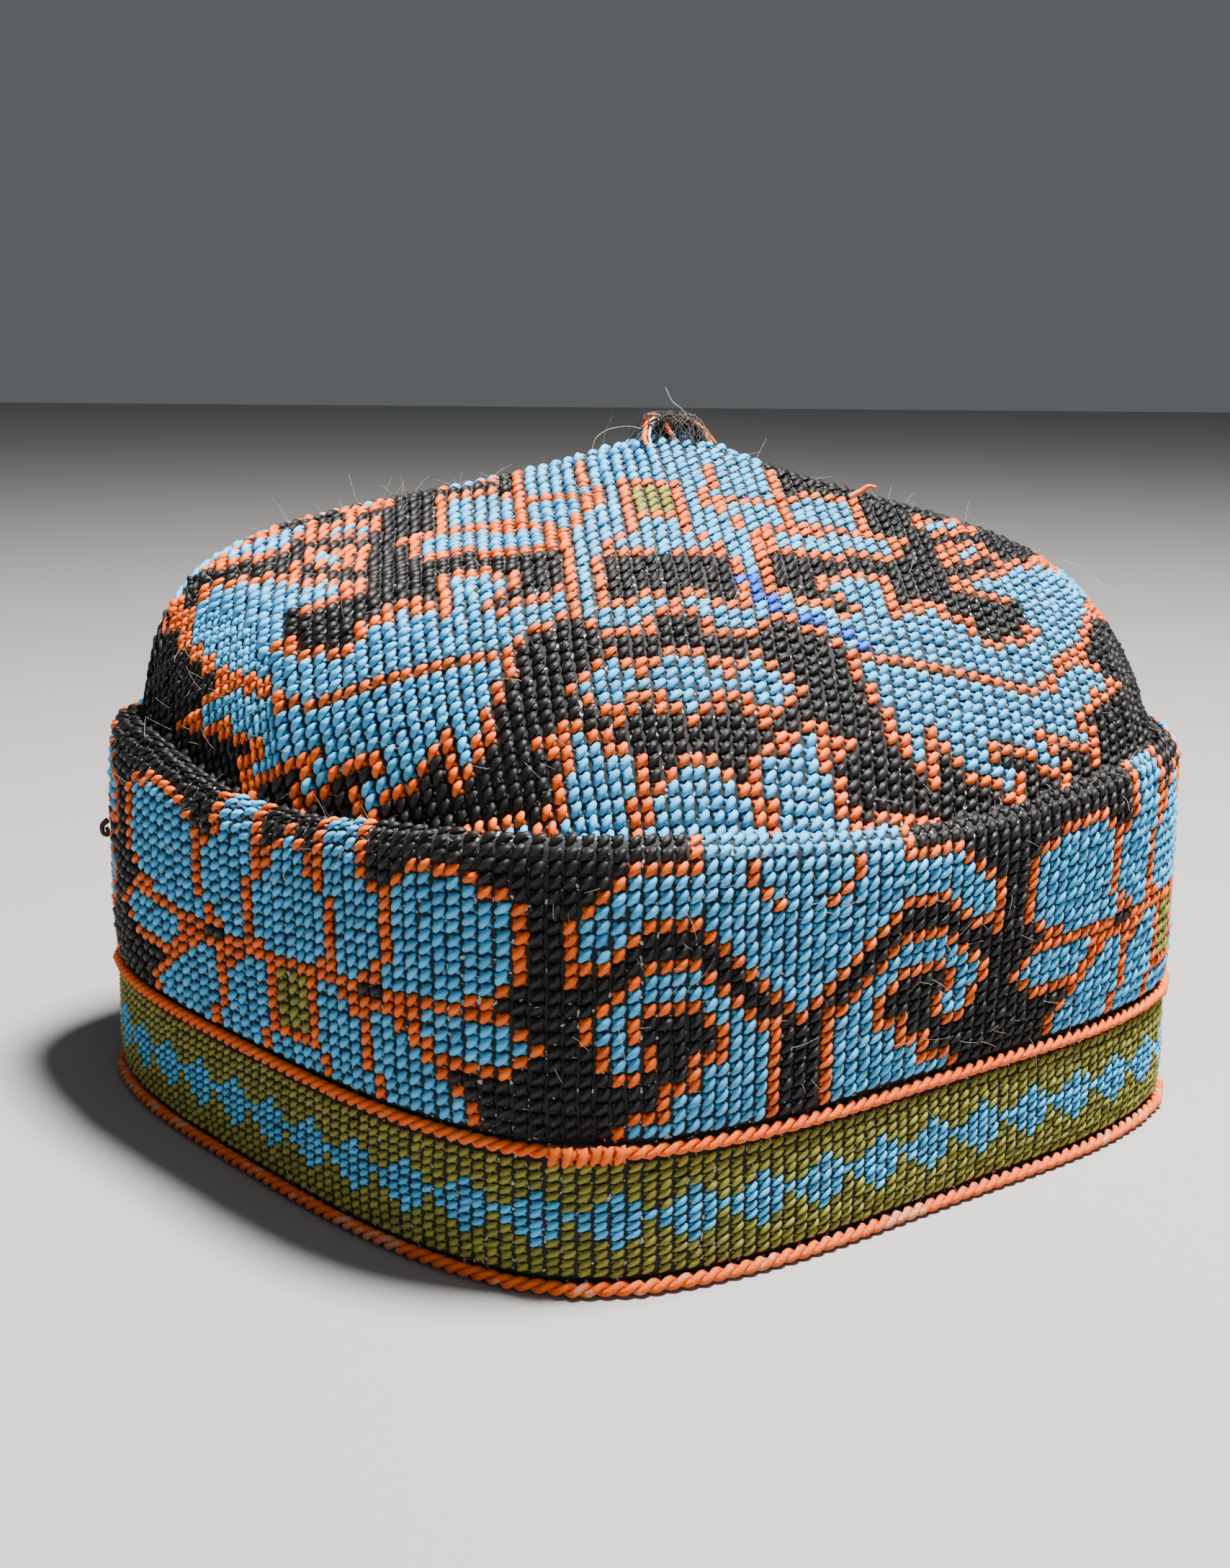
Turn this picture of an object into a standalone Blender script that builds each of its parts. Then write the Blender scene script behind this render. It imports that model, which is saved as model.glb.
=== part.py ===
"""A soft square skullcap: a peaked crown set into an upright wall, with a band round its foot.

The cap stands on the lower edge of its band. Its four soft corners point along the X and Y axes, with
the front corner at -Y. Lengths are metres. The crown, the wall and the band are sheets given their
thickness of cloth, two twisted cords run round the band, and a frayed tuft of thread ends sits on the
peak.
"""
import math
from collections import namedtuple

import bmesh
import bpy
from mathutils import Vector

# Plan of the cap at its rim
CORNER_REACH = 0.0985
FLANK_REACH = 0.0835
CORNER_TIGHTNESS = 3.6
FOOT_SHARE = 0.982
FOOT_PINCH = 0.0019
PINCH_SPREAD = 9.0

# Heights above the surface that the cap stands on
BAND_HEIGHT = 0.0225
RIM_HEIGHT = 0.0665
RIM_WAVE = 0.0025
PEAK_HEIGHT = 0.1205

# Cloth and seams
CROWN_CLOTH = 0.0020
WALL_CLOTH = 0.0020
BAND_CLOTH = 0.0024
SEAM_GAP = 0.0003
CROWN_GAP = 0.00035
SEAM_SINK = 0.0008
RIM_ROLL = 0.0032
NEST_DEPTH = 0.0012

# The peak stands a little to the right of the middle, and the crown's shoulder leans back and left
PEAK_SHIFT = Vector((0.0068, -0.0010, 0.0))
SHOULDER_LEAN = Vector((-0.0034, 0.0044, 0.0))
LEAN_START = 0.10

# Twisted cords above and below the band
TOP_CORD_THICKNESS = 0.0020
HEM_CORD_THICKNESS = 0.0022

# Tuft of thread ends on the peak
TUFT_REACH = 0.0088
TUFT_HEIGHT = 0.0030
TUFT_HEAD_REACH = 0.0052
TUFT_DROOP = 0.0017
TUFT_HEAD_HEIGHT = 0.0018
LOCK_THICKNESS = 0.0026
LOCK_TAPER = 0.35
LOCK_RISE = (0.2 * math.pi, 0.8 * math.pi)
LOCK_SIDES = 6
LOCK_STEPS = 4

# Steps round the cap
AROUND = 64

# The wall above its lower seam: share of the wall's height, share of the rim's roll
WallRow = namedtuple("WallRow", "level roll")
WALL_ROWS = (
    WallRow(level=0.25, roll=0.00),
    WallRow(level=0.46, roll=0.00),
    WallRow(level=0.66, roll=0.00),
    WallRow(level=0.84, roll=0.00),
    WallRow(level=0.94, roll=0.10),
    WallRow(level=0.985, roll=0.34),
    WallRow(level=1.00, roll=0.68),
    WallRow(level=1.00, roll=1.00),
)

# Edges that turn in to let a cord nest: height as a share of the cord's thickness, depth as a share
# of NEST_DEPTH. The first table runs up from a seam that a cord covers, the second up from the hem.
NestRow = namedtuple("NestRow", "height depth")
SEAM_NEST = (
    NestRow(height=0.00, depth=1.00),
    NestRow(height=0.30, depth=1.00),
    NestRow(height=0.85, depth=0.00),
)
HEM_NEST = (
    NestRow(height=0.00, depth=1.00),
    NestRow(height=0.95, depth=1.00),
    NestRow(height=1.45, depth=0.00),
)

# The crown from its seam to the peak: share of the seam's reach, share of the crown's rise
CrownRow = namedtuple("CrownRow", "reach rise")
CROWN_ROWS = (
    CrownRow(reach=1.000, rise=0.000),
    CrownRow(reach=0.985, rise=0.000),
    CrownRow(reach=0.972, rise=0.110),
    CrownRow(reach=0.950, rise=0.265),
    CrownRow(reach=0.905, rise=0.420),
    CrownRow(reach=0.840, rise=0.530),
    CrownRow(reach=0.740, rise=0.620),
    CrownRow(reach=0.600, rise=0.695),
    CrownRow(reach=0.430, rise=0.775),
    CrownRow(reach=0.260, rise=0.856),
    CrownRow(reach=0.130, rise=0.935),
    CrownRow(reach=0.050, rise=0.988),
)

# Soft swells and dents of the wall: direction and spread in degrees, level as a share of the wall's
# height, depth as a share of the side's reach, outwards where it is positive
WallDent = namedtuple("WallDent", "direction spread level level_spread depth")
WALL_DENTS = (
    WallDent(direction=-132, spread=26, level=0.35, level_spread=0.90, depth=0.012),
    WallDent(direction=-52, spread=24, level=0.05, level_spread=0.60, depth=-0.008),
    WallDent(direction=-164, spread=9, level=0.95, level_spread=0.35, depth=-0.020),
    WallDent(direction=48, spread=30, level=0.60, level_spread=0.60, depth=0.010),
    WallDent(direction=140, spread=28, level=0.55, level_spread=0.60, depth=-0.010),
)

# Where the rim folds in further than elsewhere: depth as a share of the rim's roll
RimFold = namedtuple("RimFold", "direction spread depth")
RIM_FOLDS = (
    RimFold(direction=-160, spread=18, depth=0.90),
    RimFold(direction=-118, spread=12, depth=0.30),
    RimFold(direction=70, spread=25, depth=0.40),
)

# Soft dents and ridges of the crown: reach as a share of the seam's reach, drop as a share of the
# crown's rise, downwards where it is negative
CrownDent = namedtuple("CrownDent", "direction spread reach reach_spread drop")
CROWN_DENTS = (
    CrownDent(direction=-158, spread=17, reach=0.95, reach_spread=0.07, drop=-0.085),
    CrownDent(direction=-135, spread=24, reach=0.55, reach_spread=0.22, drop=-0.030),
    CrownDent(direction=-90, spread=12, reach=0.62, reach_spread=0.20, drop=0.022),
    CrownDent(direction=-45, spread=22, reach=0.50, reach_spread=0.20, drop=-0.026),
    CrownDent(direction=0, spread=12, reach=0.60, reach_spread=0.22, drop=0.020),
    CrownDent(direction=180, spread=13, reach=0.62, reach_spread=0.22, drop=0.024),
    CrownDent(direction=50, spread=22, reach=0.55, reach_spread=0.22, drop=-0.034),
    CrownDent(direction=130, spread=24, reach=0.60, reach_spread=0.22, drop=-0.024),
)

# Locks of the tuft: direction in degrees, reach and height as shares of the tuft's own
TuftLock = namedtuple("TuftLock", "direction reach height")
TUFT_LOCKS = (
    TuftLock(direction=165, reach=1.00, height=0.95),
    TuftLock(direction=205, reach=0.80, height=0.70),
    TuftLock(direction=120, reach=0.75, height=1.00),
    TuftLock(direction=80, reach=0.60, height=0.90),
    TuftLock(direction=30, reach=0.75, height=0.85),
    TuftLock(direction=-10, reach=0.95, height=0.60),
    TuftLock(direction=-45, reach=0.65, height=0.55),
)

# Colour, roughness: the thread and cloth of each piece
FINISHES = {
    "crown": ((0.10, 0.42, 0.68), 0.70),
    "side_wall": ((0.08, 0.38, 0.64), 0.70),
    "band": ((0.20, 0.17, 0.03), 0.75),
    "band_cord": ((0.80, 0.22, 0.02), 0.60),
    "hem_cord": ((0.78, 0.20, 0.02), 0.60),
    "peak_tuft": ((0.06, 0.05, 0.05), 0.80),
}


def clear_scene():
    for item in list(bpy.data.objects):
        bpy.data.objects.remove(item, do_unlink=True)


def finish(name):
    """A plain material in a piece's own colour."""
    colour, roughness = FINISHES[name]
    material = bpy.data.materials.new(name)
    material.use_nodes = True
    shader = material.node_tree.nodes["Principled BSDF"]
    shader.inputs["Base Color"].default_value = (*colour, 1.0)
    shader.inputs["Roughness"].default_value = roughness
    shader.inputs["Metallic"].default_value = 0.0
    return material


def hump(distance, spread):
    """One at the middle of a swell or dent, fading to nothing past its spread."""
    return math.exp(-(distance / spread) ** 2)


def ease(share):
    """A smooth step from nought to one."""
    share = min(max(share, 0.0), 1.0)
    return share * share * (3 - 2 * share)


def turn_between(angle, direction):
    """Degrees from a direction of a table to an angle in radians, the short way round."""
    return (math.degrees(angle) - direction + 180.0) % 360.0 - 180.0


def plan_reach(angle):
    """Reach of the rounded-square plan, from FLANK_REACH between corners to CORNER_REACH at them."""
    turned = angle + math.pi / 4
    power = CORNER_TIGHTNESS
    stretch = (abs(math.cos(turned)) ** power + abs(math.sin(turned)) ** power) ** (-1 / power)
    corner_stretch = 2 ** (0.5 - 1 / power)
    return FLANK_REACH + (CORNER_REACH - FLANK_REACH) * (stretch - 1) / (corner_stretch - 1)


def wall_reach(angle, level):
    """Reach of the wall's outer face at a share of its height; below its foot it stays as there."""
    level = max(level, 0.0)
    reach = plan_reach(angle) * (FOOT_SHARE + (1 - FOOT_SHARE) * level)
    from_corner = (math.degrees(angle) + 45.0) % 90.0 - 45.0
    reach += FOOT_PINCH * hump(from_corner, PINCH_SPREAD) * (1 - ease(level))
    for dent in WALL_DENTS:
        fade = hump(turn_between(angle, dent.direction), dent.spread)
        reach += FLANK_REACH * dent.depth * fade * hump(level - dent.level, dent.level_spread)
    return reach


def rim_height(angle):
    """The rim stands highest at the four corners and dips between them."""
    return RIM_HEIGHT + RIM_WAVE * math.cos(4 * angle)


def rim_roll(angle):
    """How far the top of the wall rolls in, more where the rim is folded."""
    roll = RIM_ROLL
    for fold in RIM_FOLDS:
        roll += RIM_ROLL * fold.depth * hump(turn_between(angle, fold.direction), fold.spread)
    return roll


def ring(reach, height):
    """Points all round the cap, from its reach and its height in each direction."""
    points = []
    for angle in angles():
        out = reach(angle)
        points.append(Vector((out * math.cos(angle), out * math.sin(angle), height(angle))))
    return points


def moved_out(points, outset):
    """A ring moved out level along its own normals, or in where the outset is negative."""
    moved = []
    for step, point in enumerate(points):
        along = points[(step + 1) % AROUND] - points[step - 1]
        moved.append(point + Vector((along.y, -along.x, 0.0)).normalized() * outset)
    return moved


def foot_ring(height, outset):
    """The plan of the cap's foot at a height above the floor."""
    return moved_out(ring(lambda angle: wall_reach(angle, 0.0), lambda angle: height), outset)


def crown_point(angle, row):
    """A point of the crown's outer face, carried sideways by the lean and the peak's shift."""
    seam = wall_reach(angle, 1.0) - rim_roll(angle) - CROWN_GAP
    seam_height = rim_height(angle) - SEAM_SINK
    rise = row.rise
    free = ease((1 - row.reach) / LEAN_START)
    for dent in CROWN_DENTS:
        fade = hump(turn_between(angle, dent.direction), dent.spread)
        rise += dent.drop * fade * hump(row.reach - dent.reach, dent.reach_spread) * free
    reach = seam * row.reach
    point = Vector((reach * math.cos(angle), reach * math.sin(angle), 0.0))
    point += PEAK_SHIFT * (1 - row.reach)
    point += SHOULDER_LEAN * free * math.sin(math.pi / 2 * row.reach)
    point.z = seam_height + (PEAK_HEIGHT - seam_height) * rise
    return point


def angles():
    return [2 * math.pi * step / AROUND for step in range(AROUND)]


def add_object(name, mesh):
    item = bpy.data.objects.new(name, mesh)
    item.data.materials.append(finish(name))
    bpy.context.scene.collection.objects.link(item)
    return item


def sheet(name, rings, peak=None):
    """A sheet through closed rings of points, from the outermost or lowest one inwards or upwards."""
    shape = bmesh.new()
    rows = [[shape.verts.new(point) for point in ring] for ring in rings]
    for lower, upper in zip(rows, rows[1:]):
        for step in range(AROUND):
            after = (step + 1) % AROUND
            shape.faces.new((lower[step], lower[after], upper[after], upper[step]))
    if peak is not None:
        top = shape.verts.new(peak)
        for step in range(AROUND):
            shape.faces.new((rows[-1][step], rows[-1][(step + 1) % AROUND], top))
    mesh = bpy.data.meshes.new(name)
    shape.to_mesh(mesh)
    shape.free()
    mesh.shade_smooth()
    return add_object(name, mesh)


def thicken(item, cloth):
    """Gives a sheet its cloth on the inner side, so that its outer face stays where it is."""
    wall = item.modifiers.new("cloth", "SOLIDIFY")
    wall.thickness = cloth
    wall.offset = -1.0
    wall.use_even_offset = True


def make_crown():
    rings = [[crown_point(angle, row) for angle in angles()] for row in CROWN_ROWS]
    crown = sheet("crown", rings, Vector((PEAK_SHIFT.x, PEAK_SHIFT.y, PEAK_HEIGHT)))
    thicken(crown, CROWN_CLOTH)


def make_side_wall():
    foot = BAND_HEIGHT + SEAM_GAP
    rings = []
    for row in SEAM_NEST:
        rings.append(foot_ring(foot + row.height * TOP_CORD_THICKNESS, -row.depth * NEST_DEPTH))
    for row in WALL_ROWS:
        rings.append(ring(
            lambda angle: wall_reach(angle, row.level) - rim_roll(angle) * row.roll,
            lambda angle: foot + (rim_height(angle) - foot) * row.level,
        ))
    thicken(sheet("side_wall", rings), WALL_CLOTH)


def make_band():
    rings = [foot_ring(row.height * HEM_CORD_THICKNESS, -row.depth * NEST_DEPTH) for row in HEM_NEST]
    for row in reversed(SEAM_NEST):
        rings.append(foot_ring(BAND_HEIGHT - row.height * TOP_CORD_THICKNESS, -row.depth * NEST_DEPTH))
    thicken(sheet("band", rings), BAND_CLOTH)


def make_cord(name, thickness, height):
    """A round cord nested against the cloth all the way round the cap."""
    path = bpy.data.curves.new(name, "CURVE")
    path.dimensions = "3D"
    path.bevel_depth = thickness / 2
    path.bevel_resolution = 1
    line = path.splines.new("POLY")
    route = foot_ring(height, thickness / 2 + SEAM_GAP - NEST_DEPTH)
    line.points.add(len(route) - 1)
    for spot, point in zip(line.points, route):
        spot.co = (*point, 1.0)
    line.use_cyclic_u = True
    line.use_smooth = True
    return add_object(name, path)


def lock_ring(centre, along, thickness):
    """Points round a lock where it runs along a direction."""
    side = along.cross(Vector((0.0, 0.0, 1.0))).normalized()
    up = side.cross(along).normalized()
    points = []
    for step in range(LOCK_SIDES):
        angle = 2 * math.pi * step / LOCK_SIDES
        points.append(centre + (side * math.cos(angle) + up * math.sin(angle)) * thickness / 2)
    return points


def add_lock(shape, base, lock):
    """One lock of thread ends: it rises out of the head, arches over and thins towards its end."""
    outward = Vector((math.cos(math.radians(lock.direction)), math.sin(math.radians(lock.direction)), 0.0))
    start, end = LOCK_RISE
    centres = []
    for step in range(LOCK_STEPS + 1):
        share = step / LOCK_STEPS
        arch = math.sin(start + (end - start) * share)
        height = TUFT_HEIGHT * lock.height * arch - TUFT_DROOP * share**2
        centres.append(base + outward * TUFT_REACH * lock.reach * share + Vector((0.0, 0.0, height)))
    rows = []
    for step, centre in enumerate(centres):
        along = centres[min(step + 1, LOCK_STEPS)] - centres[max(step - 1, 0)]
        thickness = LOCK_THICKNESS * (1 - LOCK_TAPER * step / LOCK_STEPS)
        rows.append([shape.verts.new(point) for point in lock_ring(centre, along, thickness)])
    for inner, outer in zip(rows, rows[1:]):
        for step in range(LOCK_SIDES):
            after = (step + 1) % LOCK_SIDES
            shape.faces.new((inner[step], inner[after], outer[after], outer[step]))
    shape.faces.new(rows[0][::-1])
    shape.faces.new(rows[-1])
    bmesh.ops.recalc_face_normals(shape, faces=shape.faces[:])


def make_tuft():
    """Locks fused to a flat head that sits on the peak of the crown."""
    base = Vector((PEAK_SHIFT.x, PEAK_SHIFT.y, PEAK_HEIGHT + SEAM_GAP + LOCK_THICKNESS / 2))
    shape = bmesh.new()
    bmesh.ops.create_uvsphere(shape, u_segments=12, v_segments=6, radius=1.0)
    bmesh.ops.scale(shape, vec=(TUFT_HEAD_REACH, TUFT_HEAD_REACH, TUFT_HEAD_HEIGHT), verts=shape.verts[:])
    rise = Vector((0.0, 0.0, TUFT_HEAD_HEIGHT - LOCK_THICKNESS / 2))
    bmesh.ops.translate(shape, vec=base + rise, verts=shape.verts[:])
    mesh = bpy.data.meshes.new("peak_tuft")
    shape.to_mesh(mesh)
    shape.free()
    tuft = add_object("peak_tuft", mesh)
    for number, lock in enumerate(TUFT_LOCKS):
        shape = bmesh.new()
        add_lock(shape, base, lock)
        mesh = bpy.data.meshes.new("lock")
        shape.to_mesh(mesh)
        shape.free()
        cutter = bpy.data.objects.new(f"lock_{number}", mesh)
        cutter.hide_render = True
        cutter.display_type = "WIRE"
        bpy.context.scene.collection.objects.link(cutter)
        fuse = tuft.modifiers.new(f"lock_{number}", "BOOLEAN")
        fuse.operation = "UNION"
        fuse.object = cutter


def main():
    clear_scene()
    make_crown()
    make_side_wall()
    make_band()
    make_cord("band_cord", TOP_CORD_THICKNESS, BAND_HEIGHT)
    make_cord("hem_cord", HEM_CORD_THICKNESS, HEM_CORD_THICKNESS / 2 + SEAM_GAP)
    make_tuft()


main()
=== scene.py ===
# %% [markdown]
# # A cross-stitched skullcap
# A soft cap with a peaked crown, an upright wall and a band, all covered in cross stitch. The packed
# model holds the cloth. This script lays the needlework on it: about fourteen thousand crosses of
# floss, two twisted cords and the frayed thread ends on the peak.

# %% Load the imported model
import math

import bmesh
import bpy
import numpy as np
from mathutils import Matrix, Vector
from mathutils.bvhtree import BVHTree
from mathutils.kdtree import KDTree


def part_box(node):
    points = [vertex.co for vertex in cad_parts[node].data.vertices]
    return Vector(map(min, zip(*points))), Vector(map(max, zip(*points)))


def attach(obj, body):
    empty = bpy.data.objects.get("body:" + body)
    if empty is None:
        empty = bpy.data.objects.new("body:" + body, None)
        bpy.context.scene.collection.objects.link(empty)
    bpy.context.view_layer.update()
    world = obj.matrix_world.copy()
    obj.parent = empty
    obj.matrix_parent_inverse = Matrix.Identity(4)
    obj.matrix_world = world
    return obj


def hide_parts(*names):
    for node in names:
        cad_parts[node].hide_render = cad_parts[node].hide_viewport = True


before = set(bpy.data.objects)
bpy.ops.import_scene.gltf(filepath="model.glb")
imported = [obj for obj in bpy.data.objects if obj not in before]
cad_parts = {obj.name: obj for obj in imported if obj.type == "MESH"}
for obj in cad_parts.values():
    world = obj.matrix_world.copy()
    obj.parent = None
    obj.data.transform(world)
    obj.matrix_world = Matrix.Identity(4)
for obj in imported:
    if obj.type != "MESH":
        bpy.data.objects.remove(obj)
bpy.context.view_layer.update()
rng = np.random.default_rng(56)
MM = 0.001
print("nodes:", ", ".join(sorted(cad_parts)))


# %% [markdown]
# ## Camera
# The view of the cap that the photograph has: from a little above, with the front corner near the
# middle. The camera is built from its place, the way it looks and the way up, so that it needs no
# target object.

# %% Camera
CAMERA_PLACE = Vector((0.033484, -0.391413, 0.141626))
CAMERA_FORWARD = Vector((-0.091960, 0.972835, -0.212451))
CAMERA_UP = Vector((-0.024163, 0.211112, 0.977163))
FOCAL_PIXELS = 3000
IMAGE_WIDTH = 1708
IMAGE_HEIGHT = 2177
SENSOR = 36
NEAREST_SEEN = 0.01


def add_camera():
    data = bpy.data.cameras.new("camera")
    data.sensor_fit = "HORIZONTAL"
    data.sensor_width = SENSOR
    data.lens = FOCAL_PIXELS / IMAGE_WIDTH * SENSOR
    data.clip_start = NEAREST_SEEN
    camera = bpy.data.objects.new("camera", data)
    right = CAMERA_FORWARD.cross(CAMERA_UP)
    turn = Matrix((right, CAMERA_UP, -CAMERA_FORWARD)).transposed()
    camera.matrix_world = Matrix.Translation(CAMERA_PLACE) @ turn.to_4x4()
    bpy.context.scene.collection.objects.link(camera)
    bpy.context.scene.camera = camera
    return camera


camera = add_camera()
print("lens:", round(camera.data.lens, 2), "mm")


# %% [markdown]
# ## Shader maths in Python
# A material is a network of nodes, and long networks are hard to read. This small class wraps one
# socket, so that `0.36 + 0.25 * wear` or `specks > 0.67` adds the Math nodes that it says. The `node`
# method adds any other node: its settings come first, and then the values or links of its sockets.

# %% A socket that does sums
class Wire:
    tree = None

    def __init__(self, socket):
        self.socket = socket

    @staticmethod
    def feed(socket, value):
        if isinstance(value, Wire):
            Wire.tree.links.new(value.socket, socket)
        else:
            socket.default_value = value

    @staticmethod
    def node(kind, settings=None, output=0, **inputs):
        made = Wire.tree.nodes.new(kind)
        for name, value in (settings or {}).items():
            setattr(made, name, value)
        for name, value in inputs.items():
            key = int(name[1:]) if name[1:].isdigit() else name.replace("_", " ")
            Wire.feed(made.inputs[key], value)
        return Wire(made.outputs[output])

    @staticmethod
    def maths(operation, first, second=0.0):
        return Wire.node("ShaderNodeMath", {"operation": operation}, i0=first, i1=second)

    def __add__(self, other):
        return Wire.maths("ADD", self, other)

    def __mul__(self, other):
        return Wire.maths("MULTIPLY", self, other)

    def __gt__(self, other):
        return Wire.maths("GREATER_THAN", self, other)

    __radd__ = __add__
    __rmul__ = __mul__


def mix_colour(share, first, second, blend="MIX"):
    """Two colours mixed by a share. A Mix node's colours are its sockets 6 and 7, and the result is 2."""
    settings = {"data_type": "RGBA", "blend_type": blend}
    return Wire.node("ShaderNodeMix", settings, 2, Factor=share, i6=first, i7=second)


SHEEN_ROUGHNESS = 0.4


def new_material(name, roughness, sheen=0.0, specular=0.5):
    """A material whose constant values are set on the shader's own sockets."""
    material = bpy.data.materials.new(name)
    material.use_nodes = True
    Wire.tree = material.node_tree
    shader = material.node_tree.nodes["Principled BSDF"]
    shader.inputs["Roughness"].default_value = roughness
    shader.inputs["Sheen Weight"].default_value = sheen
    shader.inputs["Sheen Roughness"].default_value = SHEEN_ROUGHNESS
    shader.inputs["Specular IOR Level"].default_value = specular
    return material, shader


def add_bump(shader, height, distance):
    bump = Wire.node("ShaderNodeBump", Height=height, Distance=distance)
    Wire.feed(shader.inputs["Normal"], bump)


print("shader helpers ready")


# %% [markdown]
# ## Floor and light
# A plain pale floor, one lamp high above and a little to the right, a weak wide one low in front on
# the right, and a pale world. The crown is bright from above, and the wall falls into a soft shade.

# %% Floor
FLOOR_SIZE = 6.0
FLOOR_COLOUR = (0.30, 0.296, 0.29, 1.0)


def deselect():
    bpy.ops.object.select_all(action="DESELECT")


deselect()
bpy.ops.mesh.primitive_plane_add(size=FLOOR_SIZE, location=(0.0, 0.0, 0.0))
floor = bpy.context.object
floor.name = "floor"
material, shader = new_material("pale_floor", roughness=0.85)
shader.inputs["Base Color"].default_value = FLOOR_COLOUR
floor.data.materials.append(material)


# %% Lights
LIT_PLACE = Vector((0.0, 0.0, 0.06))
WORLD_COLOUR = (0.80, 0.84, 0.90, 1.0)
WORLD_STRENGTH = 0.14


def add_light(name, place, size, power, colour):
    """A round lamp that looks at the middle of the cap."""
    data = bpy.data.lights.new(name, "AREA")
    data.shape = "DISK"
    data.size = size
    data.energy = power
    data.color = colour
    lamp = bpy.data.objects.new(name, data)
    lamp.location = place
    lamp.rotation_euler = (LIT_PLACE - Vector(place)).to_track_quat("-Z", "Y").to_euler()
    bpy.context.scene.collection.objects.link(lamp)


add_light("high_lamp", place=(0.24, -0.04, 0.98), size=0.22, power=58.0, colour=(1.0, 0.98, 0.95))
add_light("front_lamp", place=(0.40, -0.85, 0.50), size=0.60, power=1.5, colour=(0.95, 0.97, 1.0))
world = bpy.data.worlds.new("pale_world")
world.use_nodes = True
world.node_tree.nodes["Background"].inputs["Color"].default_value = WORLD_COLOUR
world.node_tree.nodes["Background"].inputs["Strength"].default_value = WORLD_STRENGTH
bpy.context.scene.world = world
print("lamps:", [item.name for item in bpy.data.lights])


# %% [markdown]
# ## The cloth
# The cap's cloth is already in the imported model, as loose triangles. A copy of each node is merged,
# its triangles are joined into four-sided faces, and one step of subdivision rounds it. The copy
# takes the node's place: its outer face is the canvas that the crosses are worked on, seen only in
# the gaps between them and painted near-black for the shade there, and its inner face is plain cotton.

# %% Canvas and cotton
# The canvas's near-black is painted shade for the gaps between the crosses; its pale specks are its own
# threads.
CANVAS_PAINTED_SHADE = (0.010, 0.010, 0.011, 1.0)
CANVAS_PALE = (0.42, 0.40, 0.37, 1.0)
SPECK_LEVEL = 0.67
COTTON_DARK = (0.50, 0.44, 0.33, 1.0)
COTTON_PALE = (0.68, 0.62, 0.50, 1.0)


def canvas_material():
    """Stiff canvas, painted near-black for the shade between the floss, with pale specks where its own
    threads show.
    """
    material, shader = new_material("canvas", roughness=0.9)
    place = Wire.node("ShaderNodeTexCoord", output="Object")
    specks = Wire.node("ShaderNodeTexNoise", Vector=place, Scale=900.0, Detail=1.0)
    # Painted shade between the crosses, with the canvas's own pale threads as specks.
    colour = mix_colour(specks > SPECK_LEVEL, CANVAS_PAINTED_SHADE, CANVAS_PALE)
    Wire.feed(shader.inputs["Base Color"], colour)
    add_bump(shader, specks, 0.0002)
    return material


def cotton_material():
    """Plain weave cotton: two crossing sets of fine ribs, with slight stains."""
    material, shader = new_material("cotton", roughness=0.88, sheen=0.15)
    place = Wire.node("ShaderNodeTexCoord", output="Object")
    ribs = []
    for axis in ("X", "Z"):
        settings = {"wave_type": "BANDS", "bands_direction": axis}
        ribs.append(Wire.node("ShaderNodeTexWave", settings, 1, Vector=place, Scale=420.0, Distortion=0.6))
    stains = Wire.node("ShaderNodeTexNoise", Vector=place, Scale=28.0, Detail=3.0)
    Wire.feed(shader.inputs["Base Color"], mix_colour(stains, COTTON_DARK, COTTON_PALE))
    add_bump(shader, ribs[0] + ribs[1], 0.0001)
    return material


canvas = canvas_material()
cotton = cotton_material()


# %% Copy, merge and round a node
MERGE_DISTANCE = 0.00002
QUAD_ANGLE = math.radians(50)


def copy_of_node(name, new_name):
    """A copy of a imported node, with its triangles merged and joined in fours."""
    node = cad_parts[name]
    mesh = node.data.copy()
    mesh.materials.clear()
    piece = bpy.data.objects.new(new_name, mesh)
    bpy.context.scene.collection.objects.link(piece)
    deselect()
    piece.select_set(True)
    bpy.context.view_layer.objects.active = piece
    bpy.ops.object.mode_set(mode="EDIT")
    bpy.ops.mesh.select_all(action="SELECT")
    bpy.ops.mesh.remove_doubles(threshold=MERGE_DISTANCE)
    bpy.ops.mesh.tris_convert_to_quads(face_threshold=QUAD_ANGLE, shape_threshold=QUAD_ANGLE)
    bpy.ops.object.mode_set(mode="OBJECT")
    return piece


def make_cloth(name, is_outer):
    """The cloth of one node, rounded, with canvas outside and cotton inside."""
    cloth = copy_of_node(name, name + "_cloth")
    if "custom_normal" in cloth.data.attributes:
        cloth.data.attributes.remove(cloth.data.attributes["custom_normal"])
    rounder = cloth.modifiers.new("rounder", "SUBSURF")
    rounder.levels = 1
    rounder.render_levels = 1
    bpy.ops.object.modifier_apply(modifier=rounder.name)
    cloth.data.materials.append(canvas)
    cloth.data.materials.append(cotton)
    for face in cloth.data.polygons:
        face.material_index = 0 if is_outer(face) else 1
    cloth.data.shade_smooth()
    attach(cloth, "root")
    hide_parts(name)
    return cloth


# %% Dress the three cloths
ROLL_FOOT = 0.0585
CROWN_UNDERSIDE = -0.35


def faces_out(face):
    return face.normal.x * face.center.x + face.normal.y * face.center.y > 0


def crown_outside(face):
    return face.normal.z > CROWN_UNDERSIDE


def wall_outside(face):
    return faces_out(face) or face.center.z > ROLL_FOOT


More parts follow.
